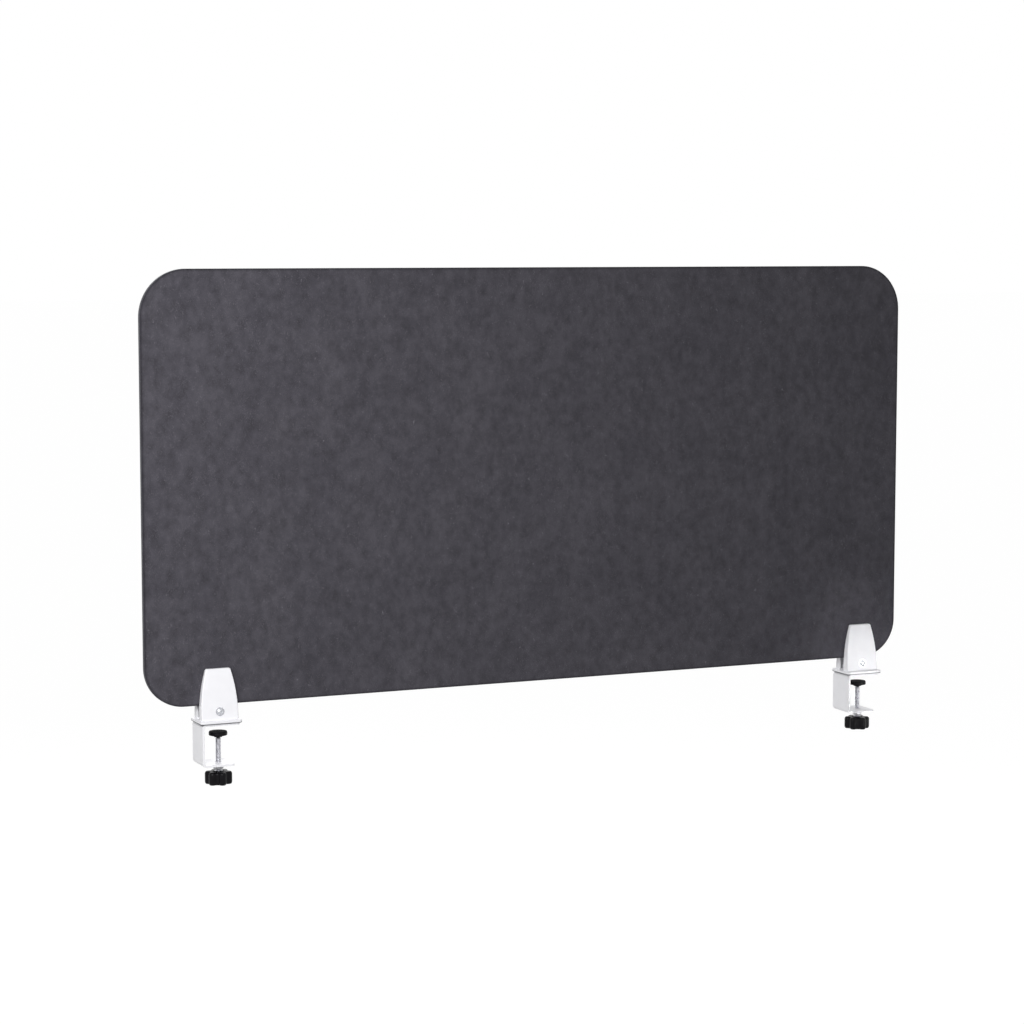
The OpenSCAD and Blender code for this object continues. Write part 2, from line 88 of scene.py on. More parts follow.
def newPiece(name, points, faces, sharpDegrees):
    # mesh of the points and faces given, with double points merged and its faces turned outwards
    data = bpy.data.meshes.new(name)
    data.from_pydata(np.asarray(points).tolist(), [], faces)
    piece = addObject(name, data)
    shape = bmesh.new()
    shape.from_mesh(data)
    bmesh.ops.remove_doubles(shape, verts=shape.verts, dist=joinWithin)
    bmesh.ops.recalc_face_normals(shape, faces=shape.faces)
    shape.to_mesh(data)
    shape.free()
    shadeSmooth(data, sharpDegrees)
    return piece


def loftPiece(name, rings, sharpDegrees):
    # rings has the shape (ring, point, xyz); both ends are closed by one face each
    count, points = rings.shape[:2]
    faces = ringFaces(count, points).tolist()
    faces += [endFace(0, points)[::-1], endFace(count - 1, points)]
    return newPiece(name, rings.reshape(-1, 3), faces, sharpDegrees)


def arcPoints(centre, radius, fromDegrees, toDegrees, steps):
    # centre plus radius times the cosine and sine of an angle that runs evenly from one value to the other
    turn = np.radians(np.linspace(fromDegrees, toDegrees, steps + 1))
    return np.stack([centre[0] + radius * np.cos(turn), centre[1] + radius * np.sin(turn)], axis=-1)


def aroundAxis(radius, turn, height, axis):
    # radius times the cosine and sine of the turn lie across the axis, and height lies along it
    u, v = radius * np.cos(turn), radius * np.sin(turn)
    h = np.broadcast_to(height, u.shape)
    parts = (u, v, h) if axis == "z" else (u, h, v)
    return np.stack(parts, axis=-1)


def revolved(profile, centre=(0, 0, 0), axis="z", points=roundPoints):
    # a profile of (radius, height) carried round an axis through the centre
    profile = np.asarray(profile, float)
    turn = np.linspace(0, 2 * np.pi, points, endpoint=False)
    return aroundAxis(profile[:, :1], turn, profile[:, 1:], axis) + np.asarray(centre)


def footOf(node):
    # middle of the underside of a node's box, and the height of the box
    low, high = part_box(node)
    return ((low.x + high.x) / 2, (low.y + high.y) / 2, low.z), high.z - low.z


def place(piece, node, material):
    # the piece takes its material, rides on its node's body and stands in for the node
    piece.data.materials.clear()
    piece.data.materials.append(material)
    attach(piece, bodyOf[node])
    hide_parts(node)


# Materials: a noise keeps mostly between its usual low and high, so tones and ranges are set by those
usualLow, usualHigh = 0.3, 0.7


class Nodes:
    # short calls for a material's node tree
    def __init__(self, name):
        self.material = bpy.data.materials.new(name)
        self.material.use_nodes = True
        self.tree = self.material.node_tree
        self.shader = self.tree.nodes["Principled BSDF"]

    def add(self, kind, **values):
        made = self.tree.nodes.new(kind)
        for key, value in values.items():
            if hasattr(made, key):
                setattr(made, key, value)
            else:
                made.inputs[key.replace("_", " ")].default_value = value
        return made

    def link(self, output, target):
        self.tree.links.new(output, target)

    def feed(self, socket, value):
        # a socket takes another node's output, a colour or a number
        if isinstance(value, bpy.types.NodeSocket):
            self.link(value, socket)
        elif isinstance(value, tuple):
            socket.default_value = (*value, 1)
        else:
            socket.default_value = value

    def coordinates(self, scale):
        spot = self.add("ShaderNodeTexCoord")
        stretched = self.add("ShaderNodeMapping")
        stretched.inputs["Scale"].default_value = scale
        self.link(spot.outputs["Object"], stretched.inputs["Vector"])
        return stretched.outputs["Vector"]

    def noise(self, scale, stretch=(1, 1, 1), detail=3.0, roughness=0.55, curl=0.0):
        made = self.add("ShaderNodeTexNoise", Scale=scale, Detail=detail, Roughness=roughness,
                        Distortion=curl)
        self.link(self.coordinates(stretch), made.inputs["Vector"])
        return made.outputs["Fac"]

    def attribute(self, name):
        return self.add("ShaderNodeAttribute", attribute_name=name).outputs["Fac"]

    def ramp(self, source, stops):
        made = self.add("ShaderNodeValToRGB")
        while len(made.color_ramp.elements) < len(stops):
            made.color_ramp.elements.new(0.5)
        for element, (at, colour) in zip(made.color_ramp.elements, stops):
            element.position = at
            element.color = (*colour, 1)
        self.link(source, made.inputs["Fac"])
        return made.outputs["Color"]

    def tone(self, source, low, high):
        return self.ramp(source, [(usualLow, low), (usualHigh, high)])

    def spread(self, source, low, high):
        # the usual range of a noise is stretched to run from low to high
        made = self.add("ShaderNodeMapRange", From_Min=usualLow, From_Max=usualHigh, To_Min=low, To_Max=high)
        self.link(source, made.inputs["Value"])
        return made.outputs["Result"]

    def times(self, first, second):
        made = self.add("ShaderNodeMath", operation="MULTIPLY")
        for socket, value in zip(made.inputs, (first, second)):
            self.feed(socket, value)
        return made.outputs[0]

    def mix(self, factor, first, second, blend="MIX"):
        made = self.add("ShaderNodeMix", data_type="RGBA", blend_type=blend)
        factorSocket, firstColour, secondColour, mixedColour = 0, 6, 7, 2  # places of the colour sockets
        self.feed(made.inputs[factorSocket], factor)
        self.feed(made.inputs[firstColour], first)
        self.feed(made.inputs[secondColour], second)
        return made.outputs[mixedColour]

    def shaded(self, base, shade):
        return self.mix(1.0, base, shade, "MULTIPLY")

    def bump(self, height, strength, distance, before=None):
        made = self.add("ShaderNodeBump", Strength=strength, Distance=distance)
        self.link(height, made.inputs["Height"])
        if before is not None:
            self.link(before, made.inputs["Normal"])
        return made.outputs["Normal"]

    def set(self, **values):
        for key, value in values.items():
            self.feed(self.shader.inputs[key.replace("_", " ")], value)
        return self.material

    def strands(self, scale, width, stretch=(1, 1, 1)):
        # curly fibres: the thin band where a warped noise is close to its middle value
        source = self.noise(scale, stretch, detail=1.0, roughness=0.4, curl=felting["curl"])
        return self.ramp(source, [(0.5 - width, (0, 0, 0)), (0.5, (1, 1, 1)), (0.5 + width, (0, 0, 0))])


felting = {
    "dark": (0.047, 0.044, 0.053), "mid": (0.068, 0.064, 0.077), "light": (0.090, 0.085, 0.101),
    "tuft": 82, "tuftStretch": (1, 1, 0.8), "cloud": 13, "fibre": 1100, "fibreStretch": (1, 1, 0.7),
    "cloudShade": (0.80, 0.80, 0.82), "fibreShade": (0.72, 0.72, 0.72), "fullShade": (1.0, 1.0, 1.0),
    "pale": (0.23, 0.22, 0.25), "sooty": (0.021, 0.020, 0.024),
    "paleStrands": 190, "darkStrands": 300, "greyStrands": 480, "curl": 1.5,
    "patch": 60, "paleShow": (0.22, 0.66), "darkShow": 0.45, "greyShow": 0.22,
    # the first colour on the next line darkens the band along the rim as painted shade
    "rimShade": (0.44, 0.44, 0.46), "layer": 90, "layerStretch": (0.25, 14, 0.25),
    "layered": (0.66, 0.66, 0.66), "layerBright": (1.25, 1.25, 1.25), "sheen": (0.8, 0.8, 0.85),
}


def feltMaterial():
    m = Nodes("charcoal_felt")
    tuft = m.noise(felting["tuft"], felting["tuftStretch"])  # matted tufts, a little taller than wide
    cloud = m.noise(felting["cloud"], felting["fibreStretch"])  # slow drift of shade from the carding
    fibre = m.noise(felting["fibre"], felting["fibreStretch"], detail=4, roughness=0.7)
    base = m.ramp(tuft, [(0.25, felting["dark"]), (0.5, felting["mid"]), (0.75, felting["light"])])
    base = m.shaded(base, m.tone(cloud, felting["cloudShade"], felting["fullShade"]))
    base = m.shaded(base, m.ramp(fibre, [(usualLow, felting["fibreShade"]), (0.72, felting["fullShade"])]))
    # pale, dark and grey strands lie over one another, each layer in its own direction
    pale = m.strands(felting["paleStrands"], width=0.009, stretch=(1.3, 1, 0.8))
    dark = m.strands(felting["darkStrands"], width=0.014, stretch=(0.8, 1, 1.2))
    grey = m.strands(felting["greyStrands"], width=0.020)
    patch = m.spread(m.noise(felting["patch"], detail=2), *felting["paleShow"])  # pale ones show in patches
    base = m.mix(m.times(dark, felting["darkShow"]), base, felting["sooty"])
    base = m.mix(m.times(grey, felting["greyShow"]), base, felting["light"])
    base = m.mix(m.times(pale, patch), base, felting["pale"])
    # the cut edge shows the layers of the mat, and a band along the rim is darkened as painted shade of the
    # rounded edge
    layers = m.noise(felting["layer"], felting["layerStretch"], roughness=0.6)
    strata = m.ramp(layers, [(0.35, felting["layered"]), (0.6, felting["layerBright"])])
    base = m.mix(m.attribute("cut"), base, m.shaded(base, strata))
    # darker band along the rim: painted shade of the rounded edge
    base = m.mix(m.attribute("rim"), base, m.shaded(base, felting["rimShade"]))
    # bumps from the coarse to the fine, each laid over the one before
    relief = m.bump(tuft, strength=0.22, distance=0.0007)
    relief = m.bump(m.times(layers, m.attribute("cut")), strength=0.6, distance=0.0006, before=relief)
    relief = m.bump(fibre, strength=0.5, distance=0.0003, before=relief)
    relief = m.bump(grey, strength=0.3, distance=0.0002, before=relief)
    relief = m.bump(pale, strength=0.35, distance=0.0002, before=relief)
    return m.set(Base_Color=base, Roughness=0.95, Specular_IOR_Level=0.15, Sheen_Weight=0.2,
                 Sheen_Roughness=0.6, Sheen_Tint=felting["sheen"], Normal=relief)


painting = {"low": (0.84, 0.838, 0.866), "high": (0.87, 0.868, 0.896),
            "peel": 1700, "wave": 220, "drift": 60}


def paintMaterial():
    m = Nodes("white_powder_coat")
    peel = m.noise(painting["peel"], detail=2, roughness=0.5)  # orange peel of the powder coat
    wave = m.noise(painting["wave"], detail=1)
    tone = m.tone(m.noise(painting["drift"]), painting["low"], painting["high"])
    relief = m.bump(peel, strength=0.22, distance=0.00008)
    relief = m.bump(wave, strength=0.15, distance=0.00012, before=relief)
    return m.set(Base_Color=tone, Roughness=m.spread(peel, low=0.34, high=0.46), Coat_Weight=0.15,
                 Coat_Roughness=0.2, Normal=relief)


plating = {"stain": 300, "turned": 2500, "turnedStretch": (1, 1, 0.08)}


def steelMaterial(name, low, high):
    m = Nodes(name)
    stain = m.noise(plating["stain"], detail=4)
    turned = m.noise(plating["turned"], plating["turnedStretch"], detail=2)  # marks left by turning
    return m.set(Base_Color=m.tone(stain, low, high), Metallic=1.0,
                 Roughness=m.spread(stain, low=0.22, high=0.36),
                 Normal=m.bump(turned, strength=0.2, distance=0.00004))


moulding = {"low": (0.0025, 0.0022, 0.003), "high": (0.005, 0.0045, 0.006), "spark": 3200, "drift": 180}


def mouldedMaterial():
    m = Nodes("moulded_black_plastic")
    spark = m.noise(moulding["spark"], detail=2, roughness=0.6)  # spark-eroded texture of the mould
    tone = m.tone(m.noise(moulding["drift"]), moulding["low"], moulding["high"])
    return m.set(Base_Color=tone, Roughness=m.spread(spark, low=0.26, high=0.38), Specular_IOR_Level=0.11,
                 Normal=m.bump(spark, strength=0.3, distance=0.00006))


sheeting = {"grain": 2600, "drift": 240}


def rubberMaterial(name, low, high, gloss):
    m = Nodes(name)
    grain = m.noise(sheeting["grain"], detail=4, roughness=0.65)
    tone = m.tone(m.noise(sheeting["drift"]), low, high)
    return m.set(Base_Color=tone, Roughness=m.spread(grain, low=0.66, high=0.85), Specular_IOR_Level=gloss,
                 Normal=m.bump(grain, strength=0.4, distance=0.00008))


felt = feltMaterial()
paint = paintMaterial()
zinc = steelMaterial("bright_zinc_plate", low=(0.52, 0.53, 0.56), high=(0.66, 0.67, 0.70))
# the threaded screw takes a lighter copy of the plated steel, its brighter tone painted light against the
# shade of its thread
brightenedScrewSteel = steelMaterial("brightened_screw_steel", low=(0.58, 0.58, 0.61), high=(0.72, 0.72, 0.75))
moulded = mouldedMaterial()
greyRubber = rubberMaterial("grey_rubber_sheet", low=(0.10, 0.10, 0.11), high=(0.15, 0.15, 0.16),
                            gloss=0.35)
blackRubber = rubberMaterial("black_rubber", low=(0.004, 0.0037, 0.0045), high=(0.008, 0.0075, 0.009),
                             gloss=0.12)
print("materials made")


# Felt board: a rounded rim, then rings that shrink towards the middle of each face
board = {"edge": 1.1 * mm, "upperCorner": 66 * mm, "lowerCorner": 56 * mm, "cornerSteps": 24,
         "sideStep": 12 * mm, "rimSteps": 4, "rimInsets": (1.8, 2.6, 3.6, 5.0, 7.0), "faceRings": 46,
         "innermost": 0.02, "fadeRings": 4, "dip": 0.10 * mm, "sharp": 50,
         "wavesAlong": (9.1, 1.3), "wavesUp": (12.7, 0.4), "slantingWaves": (23, 17),
         # the first width on the next line is that of the band of painted shade along the rim
         "rimShadeWidth": 3.6 * mm, "rimFalloff": 1.5, "cutStart": 0.2}


def boardOutline(half, tall, inset):
    # rounded rectangle drawn in by an inset: four arcs anticlockwise, joined by evenly spaced points
    upper, lower = board["upperCorner"] - inset, board["lowerCorner"] - inset
    counts = [int(2 * length / board["sideStep"]) for length in (tall, half)] * 2
    half, tall = half - inset, tall - inset
    corners = [((half - lower, lower - tall), lower, -90), ((half - upper, tall - upper), upper, 0),
               ((upper - half, tall - upper), upper, 90), ((lower - half, lower - tall), lower, 180)]
    steps = board["cornerSteps"]
    arcs = [arcPoints(centre, radius, start, start + 90, steps) for centre, radius, start in corners]
    points = []
    for arc, following, count in zip(arcs, arcs[1:] + arcs[:1], counts):
        share = np.linspace(0, 1, count)[1:-1, None]
        points += [arc, arc[-1] + (following[0] - arc[-1]) * share]
    return np.concatenate(points)


def markFelt(piece, middle, half, tall, thick):
    # two values that the felt's material reads stay on the points
    # rim: painted shade, one less the distance in from the rounded edge over the shaded width, to the
    # falloff's power
    # cut: the depth below the face over the width of the rounded edge, less where it starts
    spots = np.empty(len(piece.data.vertices) * 3, np.float32)
    piece.data.vertices.foreach_get("co", spots)
    spots = spots.reshape(-1, 3) - middle
    corner = np.where(spots[:, 2] > 0, board["upperCorner"], board["lowerCorner"])
    outX, outZ = np.abs(spots[:, 0]) - half + corner, np.abs(spots[:, 2]) - tall + corner
    beyond = np.hypot(np.maximum(outX, 0), np.maximum(outZ, 0))
    away = corner - beyond - np.minimum(np.maximum(outX, outZ), 0)
    paintedRimShade = np.clip(1 - (away - board["edge"]) / board["rimShadeWidth"], 0, 1) ** board["rimFalloff"]
    cutShare = np.clip((thick - np.abs(spots[:, 1])) / board["edge"] - board["cutStart"], 0, 1)
    for name, values in (("rim", paintedRimShade), ("cut", cutShare)):
        kept = piece.data.attributes.new(name, "FLOAT", "POINT")
        kept.data.foreach_set("value", values.astype(np.float32))


def makeBoard():
    # rim: a quarter circle from the outline to the face; face: outlines drawn in, then shrunk to the middle
    # ripple: two crossed sine waves and a slanting one, cut inwards only, as felt is never quite flat
    low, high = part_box("felt_panel")
    middle = np.array((low + high) / 2)
    half, tall, thick = (high.x - low.x) / 2, (high.z - low.z) / 2, (high.y - low.y) / 2
    outline, inner = boardOutline(half, tall, 0), boardOutline(half, tall, board["edge"])
    turn = np.radians(np.linspace(0, 90, board["rimSteps"] + 1))[:, None]
    rim = inner + (outline - inner) * np.cos(turn)[..., None]
    rimDepth = thick - board["edge"] * (1 - np.sin(turn))
    border = np.array([boardOutline(half, tall, inset * mm) for inset in board["rimInsets"]])
    share = np.linspace(1, board["innermost"], board["faceRings"])[1:, None]
    flat = np.concatenate([rim, border, border[-1] * share[..., None]])
    depth = np.concatenate([rimDepth, np.full((len(border), 1), thick), np.full(share.shape, thick)])
    x, z = flat[..., 0], flat[..., 1]
    (alongRate, alongStart), (upRate, upStart) = board["wavesAlong"], board["wavesUp"]
    slantX, slantZ = board["slantingWaves"]
    crossed = np.sin(x * alongRate + alongStart) * np.sin(z * upRate + upStart)
    ripple = (crossed + np.sin(x * slantX + z * slantZ)) / 4 + 0.5  # runs from 0 to 1
    inward = np.arange(len(flat)) - board["rimSteps"] - len(border)
    fade = np.clip(inward / board["fadeRings"], 0, 1)[:, None]
    back = np.stack([x, depth - board["dip"] * ripple * fade, z], axis=-1)
    front = back * (1, -1, 1)
    piece = loftPiece("felt_board", np.concatenate([front[::-1], back]) + middle, board["sharp"])
    markFelt(piece, middle, half, tall, thick)
    return piece


place(makeBoard(), "felt_panel", felt)
print("board made")


# Pieces that keep the CAD form: each finish is a material, a slot and the width of eased edges in metres
fitting = {"flat": 0.4, "shortest": 2e-5, "sharp": 38, "segments": 2, "weld": 3e-7}
finishes = {
    "rear_jaw": (paint, "white_paint", 0.0003), "front_jaw": (paint, "white_paint", 0.0003),
    "c_bracket": (paint, "white_paint", 0.0005), "spindle_nut": (paint, "white_paint", 0.0003),
    # the foot gasket is a thin dark grey sheet that draws a dark line between the foot plate and the bracket
    "foot_gasket": (greyRubber, "grey_rubber", 0.0002), "rear_grip_pad": (greyRubber, "grey_rubber", 0.0003),
    "front_grip_pad": (greyRubber, "grey_rubber", 0.0003), "jaw_nut": (zinc, "zinc_steel", 0.0003),
    "jaw_bolt_washer": (zinc, "zinc_steel", 0.0002), "bracket_screws": (zinc, "zinc_steel", 0.0001),
    "knob_insert": (zinc, "zinc_steel", 0.0002),
}


def fittedCopy(node, bevel):
    # a CAD node's own form: triangles within the flat angle merge, and edges over the sharp angle are eased
    data = nodes[node].data.copy()
    piece = addObject(node + "_finish", data)
    shape = bmesh.new()
    shape.from_mesh(data)
    bmesh.ops.remove_doubles(shape, verts=shape.verts, dist=joinWithin)
    flat = math.radians(fitting["flat"])
    bmesh.ops.dissolve_limit(shape, angle_limit=flat, verts=shape.verts, edges=shape.edges)
    bmesh.ops.dissolve_degenerate(shape, edges=shape.edges, dist=fitting["shortest"])
    shape.to_mesh(data)
    shape.free()
    shadeSmooth(data, fitting["sharp"])
    ease = piece.modifiers.new("ease", "BEVEL")
    ease.width = bevel
    ease.segments = fitting["segments"]
    ease.limit_method = "ANGLE"
    ease.angle_limit = math.radians(fitting["sharp"])
    ease.harden_normals = True
    weld = piece.modifiers.new("weld", "WELD")  # corners that the bevel leaves on one spot become one
    weld.merge_threshold = fitting["weld"]
    level = piece.modifiers.new("level", "WEIGHTED_NORMAL")  # flat faces keep one shade up to their edges
    level.keep_sharp = True
    return piece


for side in sides:
    for name, (material, slotName, bevel) in finishes.items():
        node = side + "_" + name
        place(fittedCopy(node, bevel), node, material)
print("eased pieces made")


# Threads: the crest stands where the phase is a half, and its flanks fall off evenly to both sides
thread = {"crest": 1.25, "slope": 3, "fadeGain": 2}


def threadRings(bottom, top, settings, axis="z"):
    # phase: height over pitch less angle over one turn
    # radius: half the major diameter less the depth wherever the ridge is low, faded out towards both ends
    rows = int((top - bottom) / settings["pitch"] * settings["rowsPerTurn"]) + 1
    height = np.linspace(bottom, top, rows)[:, None]
    turn = np.linspace(0, 2 * np.pi, settings["points"], endpoint=False)[None, :]
    phase = (height / settings["pitch"] - turn / (2 * np.pi)) % 1
    ridge = np.clip(thread["crest"] - thread["slope"] * np.abs(phase - 0.5), 0, 1)
    risen = np.clip((height - bottom) / settings["runOut"], 0, 1)
    unfinished = np.clip((top - height) / settings["runOut"], 0, 1)
    fade = np.minimum(risen * unfinished * thread["fadeGain"], 1)
    radius = settings["major"] / 2 - settings["depth"] * (1 - ridge) * fade
    return aroundAxis(radius, turn, height, axis)


# Clamp screw with its ball end
spindle = {"pitch": 1.25 * mm, "depth": 0.72 * mm, "points": 48, "rowsPerTurn": 8, "runOut": 2.5 * mm,
           "major": 7.96 * mm, "neck": 5 * mm, "ball": 7 * mm, "gap": 0.6 * mm, "neckEnd": 0.2 * mm,
           "ballTop": 89, "ballSteps": 24, "sharp": 45}


def makeSpindle(side):
    # thread up to a taper below the shoulder, a straight neck, then an arc from the neck to the ball's top
    low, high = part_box(side + "_spindle")
    x, y = (low.x + high.x) / 2, (low.y + high.y) / 2
    ballZ = high.z - spindle["ball"] / 2
    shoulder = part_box(side + "_swivel_pad")[0].z - spindle["gap"]
    taper = (spindle["major"] - spindle["neck"]) / 2
    rings = threadRings(low.z, shoulder - taper, spindle)
    neckStart = math.degrees(math.acos(spindle["neck"] / spindle["ball"]))
    ball = arcPoints((0, ballZ), spindle["ball"] / 2, -neckStart, spindle["ballTop"], spindle["ballSteps"])
    neck = [(spindle["neck"] / 2, shoulder), (spindle["neck"] / 2, ball[0][1] - spindle["neckEnd"])]
    top = revolved(np.concatenate([neck, ball]), points=spindle["points"])
    return loftPiece(side + "_screw_thread", np.concatenate([rings, top]) + (x, y, 0), spindle["sharp"])


for side in sides:
    place(makeSpindle(side), side + "_spindle", brightenedScrewSteel)
print("clamp screws made")


# Jaw bolt: hexagon socket, domed head, shank with a thread
bolt = {"pitch": 1.0 * mm, "depth": 0.58 * mm, "points": 48, "rowsPerTurn": 8, "runOut": 1.5 * mm,
        "major": 5.96 * mm, "plain": 10 * mm, "threadStart": 0.05 * mm, "threadEnd": 0.5 * mm,
        "head": 10.5 * mm, "headHeight": 3.3 * mm, "rimHeight": 0.35 * mm, "ease": 0.1 * mm,
        "domeEnd": 4, "domePoints": 14,
        "socket": 4 * mm, "socketDepth": 2.0 * mm, "floorScale": 0.98, "floorEase": 0.05 * mm,
        "mouth": 0.62, "mouthDrop": 0.12 * mm, "sharp": 30}


def hexagonRing(acrossFlats, points):
    # half the width across flats over the cosine of the angle from the middle of the nearest flat
    turn = np.linspace(0, 2 * np.pi, points, endpoint=False)
    r = acrossFlats / 2 / np.cos((turn + np.pi / 6) % (np.pi / 3) - np.pi / 6)
    return np.stack([r * np.cos(turn), r * np.sin(turn)], axis=-1)


def makeBolt(side):
    # dome: a circle through the top of the head and its rim, so its radius is half width squared plus height
    # squared, over twice the height; hexagons line the socket, and the threaded shank follows the rim
    low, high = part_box(side + "_jaw_bolt")
    x, z = (low.x + high.x) / 2, (low.z + high.z) / 2
    front = low.y  # top of the head
    seat = front + bolt["headHeight"]
    floor = front + bolt["socketDepth"]
    points, ease = bolt["points"], bolt["ease"]
    headRadius, shankRadius = bolt["head"] / 2, bolt["major"] / 2
    hexagon = hexagonRing(bolt["socket"], points)

    def hexAt(scale, y):
        return np.stack([hexagon[:, 0] * scale, np.full(points, y), hexagon[:, 1] * scale], axis=-1)[None]

    domeRadius = (headRadius ** 2 + bolt["headHeight"] ** 2) / (2 * bolt["headHeight"])
    rimAngle = math.degrees(math.asin(headRadius / domeRadius))
    topAngle = math.degrees(math.asin(bolt["socket"] * bolt["mouth"] / domeRadius))
    turn = np.radians(np.linspace(topAngle, rimAngle - bolt["domeEnd"], bolt["domePoints"]))
    dome = np.stack([domeRadius * np.sin(turn), front + domeRadius * (1 - np.cos(turn))], axis=-1)
    rim = [(headRadius, seat - bolt["rimHeight"]), (headRadius, seat - ease), (headRadius - ease, seat)]
    shank = [(shankRadius, seat), (shankRadius, seat + bolt["plain"])]
    tip = [(shankRadius - bolt["depth"] - ease, high.y)]
    parts = [hexAt(bolt["floorScale"], floor), hexAt(1, floor - bolt["floorEase"]),
             hexAt(1, dome[0][1] + bolt["mouthDrop"]),
             revolved(np.concatenate([dome, rim, shank]), axis="y", points=points),
             threadRings(seat + bolt["plain"] + bolt["threadStart"], high.y - bolt["threadEnd"], bolt, "y"),
             revolved(tip, axis="y", points=points)]
    return loftPiece(side + "_button_bolt", np.concatenate(parts) + (x, 0, z), bolt["sharp"])


for side in sides:
    place(makeBolt(side), side + "_jaw_bolt", zinc)
print("jaw bolts made")


# Star knob: lobe arcs and hollow arcs share their tangent points, and an inset only changes the two radii
knob = {"across": 38 * mm, "lobe": 5.5 * mm, "hollow": 4 * mm, "lobes": 6, "turn": -24, "points": 360,
        "foot": (2 * mm, 4 * mm), "brow": (3 * mm, 4 * mm), "bendPoints": 7,
        "collar": 8 * mm, "collarHeight": 1 * mm, "flare": 0.5 * mm, "flareSteps": 5,
        "bush": 6 * mm, "bushDeep": 14 * mm, "dish": 8 * mm, "dishDeep": 1 * mm,
        "pocket": 3 * mm, "pocketPoints": 36, "ease": 0.3 * mm, "easeSteps": 4,
        "cutWithin": 1e-7, "rimMargin": 1.001, "sharp": 40}


def starRadius(turn, inset):
    # an arc at an angle from its centre line: its centre's distance times the cosine, and the root of its
    # radius squared less the square of distance times sine, added for a lobe and taken away for a hollow
    lobeAt = knob["across"] / 2 - knob["lobe"]
    half = math.pi / knob["lobes"]
    reach = knob["lobe"] + knob["hollow"]
    hollowAt = lobeAt * math.cos(half) + math.sqrt(reach ** 2 - (lobeAt * math.sin(half)) ** 2)
    lobe, hollow = knob["lobe"] - inset, knob["hollow"] + inset
    share = lobe / reach
    touchX = lobeAt + (hollowAt * math.cos(half) - lobeAt) * share
    touch = math.atan2(hollowAt * math.sin(half) * share, touchX)
    off = (turn - math.radians(knob["turn"]) + half) % (2 * half) - half  # angle from the nearest lobe
    away = np.abs(off) - half  # angle from the nearest hollow
    outer = lobeAt * np.cos(off) + np.sqrt(np.maximum(lobe ** 2 - (lobeAt * np.sin(off)) ** 2, 0))
    inner = hollowAt * np.cos(away) - np.sqrt(np.maximum(hollow ** 2 - (hollowAt * np.sin(away)) ** 2, 0))
    return np.where(np.abs(off) < touch, outer, inner)


def starRing(inset, z):
    # the star's radius times cosine and sine of the turn, at one height
    turn = np.linspace(0, 2 * np.pi, knob["points"], endpoint=False)
    r = starRadius(turn, inset)
    return np.stack([r * np.cos(turn), r * np.sin(turn), np.full(len(turn), z)], axis=-1)


def hollowWall(radius, deep):
    # profile of a round hollow: a quarter arc at its mouth, a straight wall, and a quarter arc to its floor
    ease, steps = knob["ease"], knob["easeSteps"]
    mouth = arcPoints((radius + ease, ease), ease, -90, -180, steps)
    floor = arcPoints((radius - ease, deep - ease), ease, 0, 90, steps)
    return np.concatenate([mouth, floor])


def knobUnderside(body):
    # flat plate between the star's foot, the lobe pockets and the dish, and the walls and floors of those
    lobeAt, ease = knob["across"] / 2 - knob["lobe"], knob["ease"]
    turns = math.radians(knob["turn"]) + np.arange(knob["lobes"]) * 2 * np.pi / knob["lobes"]
    lobes = [(lobeAt * math.cos(t), lobeAt * math.sin(t)) for t in turns]
    wall = hollowWall(knob["pocket"], body / 2)  # pockets reach half the body's height
    pockets = [revolved(wall, (x, y, 0), points=knob["pocketPoints"]) for x, y in lobes]
    dish = revolved(hollowWall(knob["dish"], knob["dishDeep"]))
    loops = [starRing(knob["foot"][0], 0), dish[0]] + [pocket[0] for pocket in pockets]
    edges, start = [], 0
    for loop in loops:
        index = np.arange(len(loop))
        edges += np.stack([start + index, start + (index + 1) % len(loop)], axis=-1).tolist()
        start += len(loop)
    spots = [Vector(p[:2]) for p in np.concatenate(loops).tolist()]
    cut = delaunay_2d_cdt(spots, edges, [], 0, knob["cutWithin"])
    corners, triangles = np.array(cut[0]), np.array(cut[2])
    middle = corners[triangles].mean(axis=1)
    keep = np.hypot(*middle.T) < starRadius(np.arctan2(middle[:, 1], middle[:, 0]), knob["foot"][0])
    holes = [(0, 0, knob["dish"] + ease)] + [(x, y, knob["pocket"] + ease) for x, y in lobes]
    for x, y, r in holes:
        # a triangle with all three corners on the rim of a hole lies in the hole
        reach = np.hypot(corners[:, 0] - x, corners[:, 1] - y)[triangles].max(axis=1)
        keep &= reach > r * knob["rimMargin"]
    points = [np.column_stack([corners, np.zeros(len(corners))])]
    faces = triangles[keep].tolist()
    for rings in pockets + [dish]:
        start = sum(len(p) for p in points)
        count, around = rings.shape[:2]
        faces += (ringFaces(count, around) + start).tolist() + [endFace(count - 1, around, start)]
        points.append(rings.reshape(-1, 3))
    return np.concatenate(points), faces


